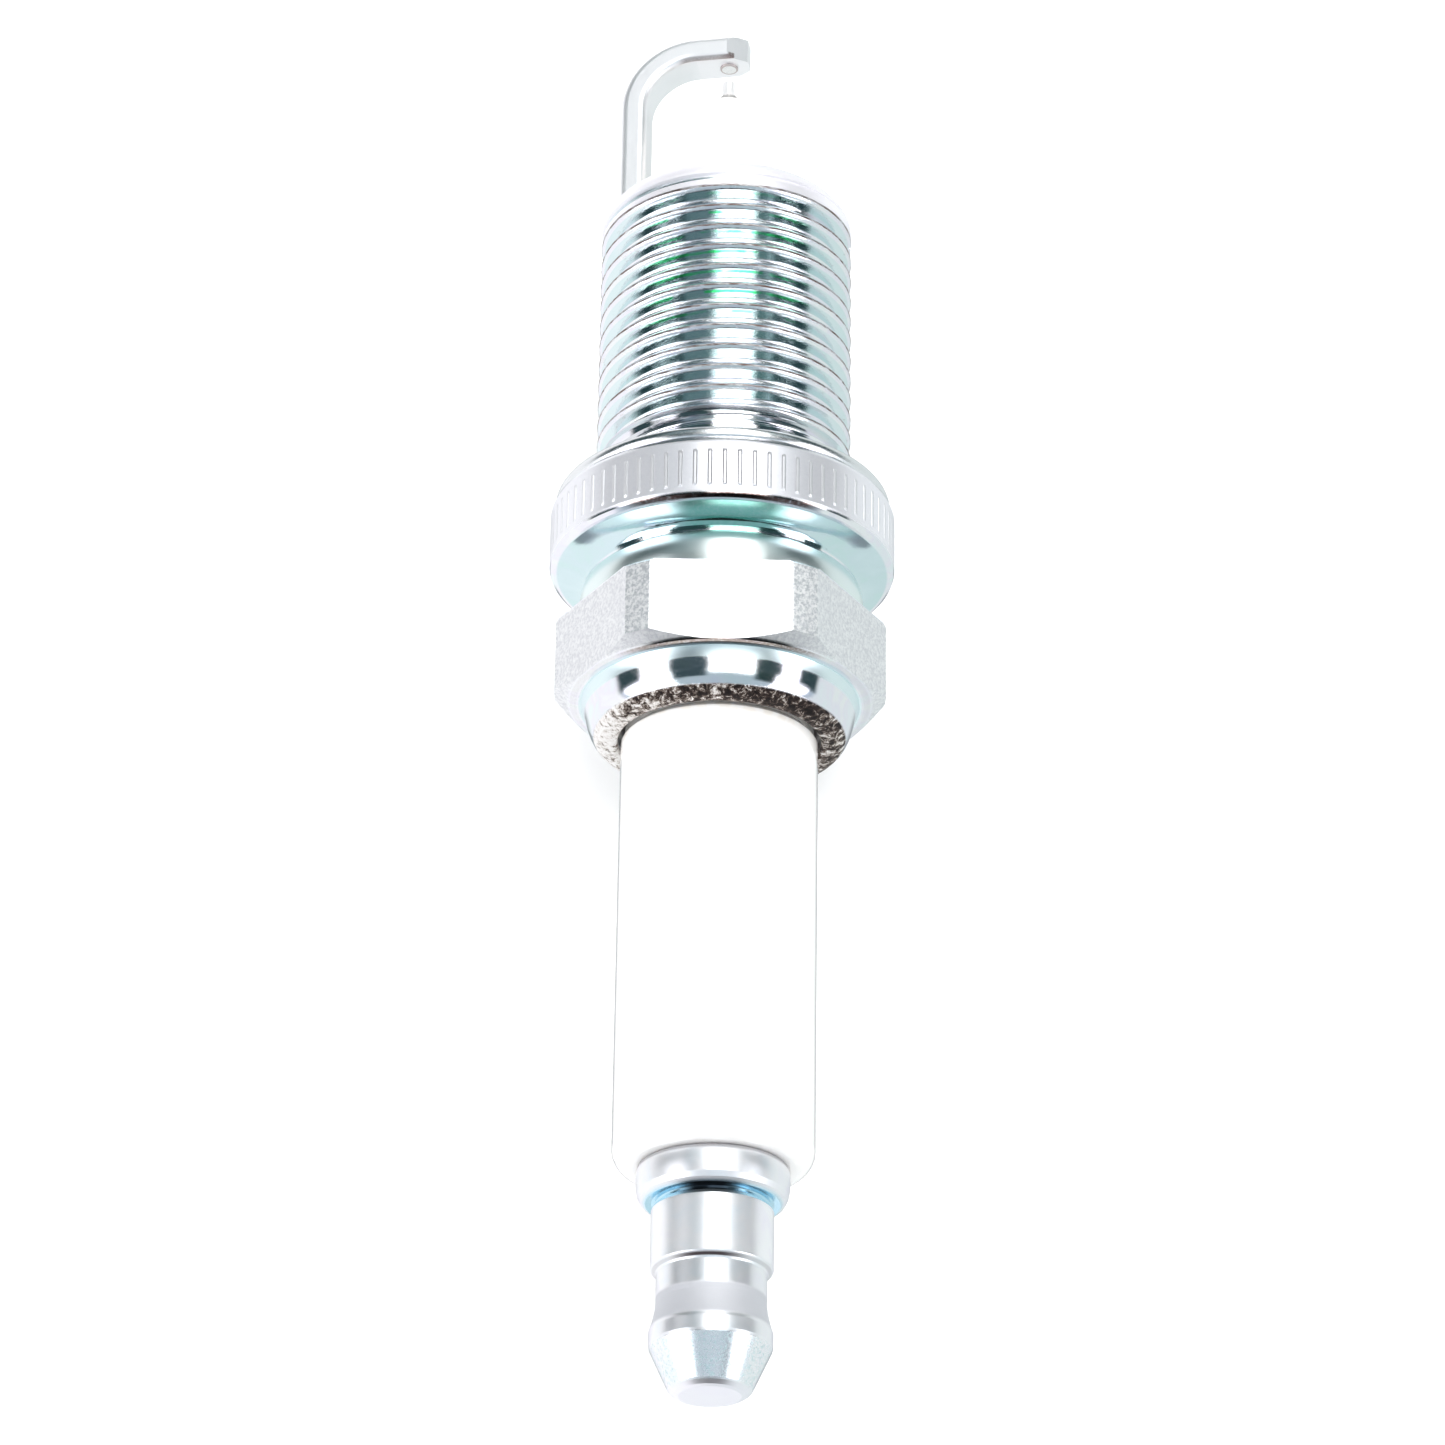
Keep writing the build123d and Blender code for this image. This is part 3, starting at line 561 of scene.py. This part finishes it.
# --- drawn and pressed metal ---
def strap_detail(mat, pits):
    """Heat tint and spatter at the weld, and a brown line on the front edge by the gap."""
    weld = mat.step(mat.z, start=-19.9, end=-18.4)
    spatter = mat.noise(scale=4.0, detail=5.0, rough=0.75, distort=0.3)
    heat = mat.ramp(spatter, stops=[
        (0.36, (0.20, 0.22, 0.14)),
        (0.44, (0.58, 0.62, 0.50)),
        (0.52, (0.84, 0.84, 0.80)),
        (0.66, (0.95, 0.95, 0.95)),
    ])
    mat.paint(weld, tint=heat, strength=0.65)
    mat.shift(weld, rough=0.45)
    mat.metallic = 0.85
    cosine, sine = math.cos(STRAP_TURN), math.sin(STRAP_TURN)
    along = mat.weighted((mat.x, cosine), (mat.y, sine))
    across = mat.sub(mat.mul(mat.y, cosine), mat.mul(mat.x, sine))
    line = mat.mul(
        mat.window(across, start=-1.17, end=-0.96, soft=0.03),
        mat.step(mat.z, start=-28.42, end=-28.30),
        mat.mul(mat.step(mat.z, start=-27.6, end=-27.8), mat.step(along, start=2.9, end=2.3)),
        mat.step(pits, start=0.34, end=0.56, first=0.45),
        mat.step(along, start=0.6, end=-0.4, first=0.65),
    )
    mat.paint(line, tint=(0.17, 0.11, 0.10))
    mat.height = mat.vary(mat.mul(spatter, weld), start=mat.height, by=3.0)


def pad_detail(mat, pits):
    """A brown ring."""
    ring = mat.window(mat.radius, start=0.40, end=0.52, soft=0.03)
    mat.paint(ring, tint=(0.36, 0.24, 0.22), strength=0.55)
    mat.shift(ring, rough=0.5)


def tip_detail(mat, pits):
    """A duller weld at the root."""
    weld = mat.step(mat.z, start=-26.25, end=-26.05)
    mat.paint(weld, tint=(0.66, 0.62, 0.60), strength=0.35)
    mat.shift(weld, rough=0.55)
    mat.metallic = 0.5


def drawn_metal(name, light, dark, rough, grain, detail=None):
    """Grain lines (scale along x, y, z), cloudy tone and small pits."""
    mat = Look(name, metallic=1.0)
    mapping = mat.new("ShaderNodeMapping")
    mat.fill(mapping, Vector=mat.spot, Scale=grain)
    lines = mat.noise(scale=1.0, detail=5.0, rough=0.7, at=mapping.outputs[0])
    cloudy = mat.noise(scale=0.9, detail=3.0, rough=0.55, distort=0.5)
    pits = mat.noise(scale=26.0, detail=4.0, rough=0.7)
    mat.base = mat.mix(mat.weighted((lines, 0.5), (cloudy, 0.5)), dark, light)
    pit_tint = tuple(c * 0.45 for c in dark)
    mat.paint(mat.step(pits, start=0.62, end=0.76), tint=pit_tint, strength=0.35)
    mat.rough = mat.vary(lines, start=rough, by=0.12)
    mat.height = mat.weighted((lines, 0.5), (pits, 0.5))
    if detail:
        detail(mat, pits)
    return mat.finish(mat.bump(mat.height, strength=0.22, distance=0.00002))


# --- powder, glass and resistor mass ---
def mineral(name, light, dark, rough, scale, speck=None):
    """Grains of two tones, with optional specks of a third."""
    mat = Look(name)
    grains = mat.noise(scale=scale, detail=6.0, rough=0.75, distort=0.3)
    voronoi = mat.new("ShaderNodeTexVoronoi")
    mat.fill(voronoi, Vector=mat.spot, Scale=scale * 1.6)
    cells = voronoi.outputs["Distance"]
    mat.base = mat.mix(mat.step(grains, start=0.35, end=0.65), dark, light)
    mat.paint(mat.step(cells, start=0.45, end=0.15), tint=dark, strength=0.35)
    if speck:
        specks = mat.noise(scale=scale * 2.4, detail=2.0, rough=0.5)
        mat.paint(mat.step(specks, start=0.62, end=0.68), tint=speck)
    mat.rough = mat.vary(grains, start=rough, by=0.12)
    return mat.finish(mat.bump(mat.add(grains, cells), strength=0.3, distance=0.00005))


WIRE_RING = dict(light=(0.56, 0.55, 0.54), dark=(0.32, 0.31, 0.30), rough=0.38, grain=(3, 3, 9))
GLASS_SEAL = dict(light=(0.46, 0.30, 0.22), dark=(0.20, 0.12, 0.09), rough=0.30, scale=5.0,
                  speck=(0.85, 0.48, 0.30))

looks = {
    "metal_shell": shell_plating(),
    "gasket": drawn_metal(
        "gasket_look", light=(0.94, 0.94, 0.95), dark=(0.76, 0.77, 0.79),
        rough=0.18, grain=(5, 5, 5)),
    "ground_electrode": drawn_metal(
        "strap_look", light=(0.97, 0.97, 0.98), dark=(0.90, 0.90, 0.92),
        rough=0.34, grain=(6, 6, 1.2), detail=strap_detail),
    "ground_pad": drawn_metal(
        "pad_look", light=(0.94, 0.94, 0.93), dark=(0.80, 0.79, 0.78),
        rough=0.22, grain=(6, 6, 6), detail=pad_detail),
    "fine_wire_tip": drawn_metal(
        "tip_look", light=(0.94, 0.94, 0.94), dark=(0.80, 0.80, 0.81),
        rough=0.30, grain=(9, 9, 2), detail=tip_detail),
    "centre_electrode": drawn_metal(
        "electrode_look", light=(0.74, 0.73, 0.70), dark=(0.50, 0.49, 0.47),
        rough=0.28, grain=(6, 6, 1)),
    "copper_core": drawn_metal(
        "copper_look", light=(0.90, 0.52, 0.38), dark=(0.62, 0.30, 0.20),
        rough=0.26, grain=(6, 6, 1)),
    "lower_packing": drawn_metal(
        "packing_look", light=(0.52, 0.52, 0.53), dark=(0.30, 0.30, 0.31),
        rough=0.40, grain=(3, 3, 12)),
    "lower_wire_ring": drawn_metal("lower_ring_look", **WIRE_RING),
    "upper_wire_ring": drawn_metal("upper_ring_look", **WIRE_RING),
    "insulator": alumina(),
    "talc_packing": mineral(
        "talc_look", light=(0.86, 0.85, 0.80), dark=(0.68, 0.67, 0.62), rough=0.75, scale=6.0),
    "lower_glass_seal": mineral("lower_seal_look", **GLASS_SEAL),
    "upper_glass_seal": mineral("upper_seal_look", **GLASS_SEAL),
    "resistor": mineral(
        "resistor_look", light=(0.17, 0.17, 0.18), dark=(0.06, 0.06, 0.065),
        rough=0.55, scale=7.0),
    "terminal_stud": terminal_steel("stud_look", stud_detail),
    "terminal_nut": terminal_steel("nut_look", nut_detail),
}
for name, piece in pieces.items():
    piece.data.materials.clear()
    piece.data.materials.append(looks[name])
    for face in piece.data.polygons:
        face.use_smooth = True
    split = piece.modifiers.new("crisp_edges", "EDGE_SPLIT")
    split.split_angle = CREASE_ANGLE
    split.use_edge_sharp = False


# --- stage ---
def add_object(name, data):
    obj = bpy.data.objects.new(name, data)
    bpy.context.scene.collection.objects.link(obj)
    return obj


def add_floor():
    """Pale matt sheet behind the plug, facing -y and clear from behind."""
    mesh = bpy.data.meshes.new("floor")
    corners = ((-1, -1), (1, -1), (1, 1), (-1, 1))
    points = [(x * FLOOR_HALF, FLOOR_Y, z * FLOOR_HALF) for x, z in corners]
    mesh.from_pydata(points, [], [(0, 1, 2, 3)])
    floor = add_object("floor", mesh)
    material = bpy.data.materials.new("floor_look")
    graph = Graph(material)
    output = graph.new("ShaderNodeOutputMaterial")
    matt = graph.new("ShaderNodeBsdfDiffuse")
    cloudy = graph.noise(scale=0.05, detail=3.0, rough=0.5)
    graph.fill(matt, Color=graph.mix(cloudy, low=(0.93, 0.93, 0.93), high=(0.96, 0.96, 0.96)))
    clear = graph.new("ShaderNodeBsdfTransparent")
    mix = graph.new("ShaderNodeMixShader")
    backfacing = graph.new("ShaderNodeNewGeometry").outputs["Backfacing"]
    for i, value in enumerate((backfacing, matt.outputs[0], clear.outputs[0])):
        graph.put(mix.inputs[i], value)
    graph.put(output.inputs[0], mix.outputs[0])
    mesh.materials.append(material)
    floor.visible_glossy = False


# Panels seen in reflections, later ones on top. Degrees: azimuth from -y towards -x
# (start, end, softness), elevation towards +z (start, end, softness); then colour.
ROOM_PANELS = [
    ((-93, 87, 2.5), (4, 64, 4), (0.44, 0.54, 0.61)),  # upper front
    ((-93, 87, 2.5), (-80, 8, 4), (0.030, 0.060, 0.066)),  # dark lower front
    ((-40, -12, 2), (6, 22, 3), (0.040, 0.070, 0.085)),
    ((30, 48, 2), (6, 26, 3), (0.015, 0.040, 0.040)),
    ((-42, -9, 4), (-60, -16, 4), (0.19, 0.26, 0.28)),
    ((26, 50, 4), (-60, -20, 4), (0.19, 0.28, 0.28)),
    ((43, 47, 1.2), (-60, -18, 3), (0.8, 0.9, 0.95)),  # thin bright strip
    ((-9, 28, 2), (-64, 14, 3), (3.0, 3.0, 3.0)),  # white, middle
    ((-68, -44, 2), (-12, 12, 3), (2.6, 2.6, 2.7)),  # white, +x side
    ((-88, -42, 2), (6, 44, 3), (2.6, 2.6, 2.7)),
    ((52, 68, 2), (-11, 12, 3), (2.6, 2.6, 2.7)),  # white, -x side
    ((48, 80, 2), (8, 46, 3), (2.6, 2.6, 2.7)),
]


def room_colour(graph, x, y, z):
    """What shiny surfaces see."""
    azimuth = graph.math("ARCTAN2", graph.mul(x, -1.0), graph.mul(y, -1.0))
    azimuth = graph.mul(azimuth, DEGREES)
    elevation = graph.mul(graph.math("ARCSINE", z), DEGREES)
    across = graph.step(azimuth, start=-25, end=25)
    colour = graph.mix(across, low=(1.06, 1.08, 1.10), high=(0.78, 0.85, 0.85))
    behind = graph.mul(
        graph.sub(1.0, graph.window(azimuth, start=-156, end=156, soft=9.0)),
        graph.window(elevation, start=-70, end=-8, soft=4.0),
    )
    colour = graph.mix(behind, colour, high=(0.34, 0.37, 0.39))
    for sideways, upward, tint in ROOM_PANELS:
        panel = graph.mul(graph.window(azimuth, *sideways), graph.window(elevation, *upward))
        colour = graph.mix(panel, colour, tint)
    cap = graph.step(elevation, start=60, end=67)
    return graph.mix(cap, colour, high=(0.012, 0.014, 0.017))


def add_world():
    world = bpy.data.worlds.new("studio")
    bpy.context.scene.world = world
    graph = Graph(world)
    output = graph.new("ShaderNodeOutputWorld")
    direction = graph.new("ShaderNodeSeparateXYZ")
    graph.put(direction.inputs[0], graph.new("ShaderNodeTexCoord").outputs["Generated"])
    x, y, z = direction.outputs
    rays = graph.new("ShaderNodeLightPath").outputs
    # matt surfaces see a white room, bright from the front and dimmer from behind
    side = graph.step(y, start=-0.75, end=0.75, first=1.10, last=0.58, kind="LINEAR")
    soft = graph.new("ShaderNodeBackground")
    even = graph.blend(rays["Is Camera Ray"], low=side, high=1.0)
    graph.fill(soft, Color=(1.0, 1.0, 1.0), Strength=even)
    shiny = graph.new("ShaderNodeBackground")
    graph.fill(shiny, Color=room_colour(graph, x, y, z), Strength=1.0)
    mix = graph.new("ShaderNodeMixShader")
    for i, value in enumerate((rays["Is Glossy Ray"], soft.outputs[0], shiny.outputs[0])):
        graph.put(mix.inputs[i], value)
    graph.put(output.inputs[0], mix.outputs[0])


def add_softbox(name, place, size, power):
    """Area light aimed at a point just above the origin."""
    light = bpy.data.lights.new(name, "AREA")
    light.shape = "RECTANGLE"
    light.size, light.size_y = size
    light.energy = power
    box = add_object(name, light)
    box.location = place
    aim = Vector((0, 0, 0.01)) - Vector(place)
    box.rotation_euler = aim.to_track_quat("-Z", "Y").to_euler()
    box.visible_glossy = False
    box.visible_camera = False


def add_camera(lens, distance, tilt, roll, shift_x, shift_y):
    """Camera tilted from -y towards +z; lens, distance and shifts in mm, angles in degrees."""
    tilt, roll = math.radians(tilt), math.radians(roll)
    x_axis, y_axis, z_axis = Vector((1, 0, 0)), Vector((0, 1, 0)), Vector((0, 0, 1))
    toward = z_axis * math.sin(tilt) - y_axis * math.cos(tilt)
    level_up = -z_axis * math.cos(tilt) - y_axis * math.sin(tilt)
    right = -x_axis * math.cos(roll) - level_up * math.sin(roll)
    up = -x_axis * math.sin(roll) + level_up * math.cos(roll)
    data = bpy.data.cameras.new("camera")
    data.sensor_fit = "HORIZONTAL"
    data.sensor_width = 36.0
    data.lens = lens
    data.clip_start = 0.01
    data.clip_end = 10.0
    camera = add_object("camera", data)
    pose = Matrix((right, up, toward)).transposed().to_4x4()
    pose.translation = (-shift_x * right - shift_y * up + distance * toward) * MM
    camera.matrix_world = pose
    bpy.context.scene.camera = camera


add_floor()
add_world()
add_softbox("soft_front", place=(-0.10, -0.42, -0.10), size=(0.40, 0.40), power=1.6)
add_softbox("soft_left", place=(0.40, -0.26, 0.02), size=(0.25, 0.40), power=0.8)
add_camera(lens=137.024221, distance=299.0, tilt=25.98, roll=-0.82, shift_x=0.02, shift_y=11.84)
view = bpy.context.scene.view_settings
view.view_transform = "Standard"
view.look = "None"
view.exposure = 0.0
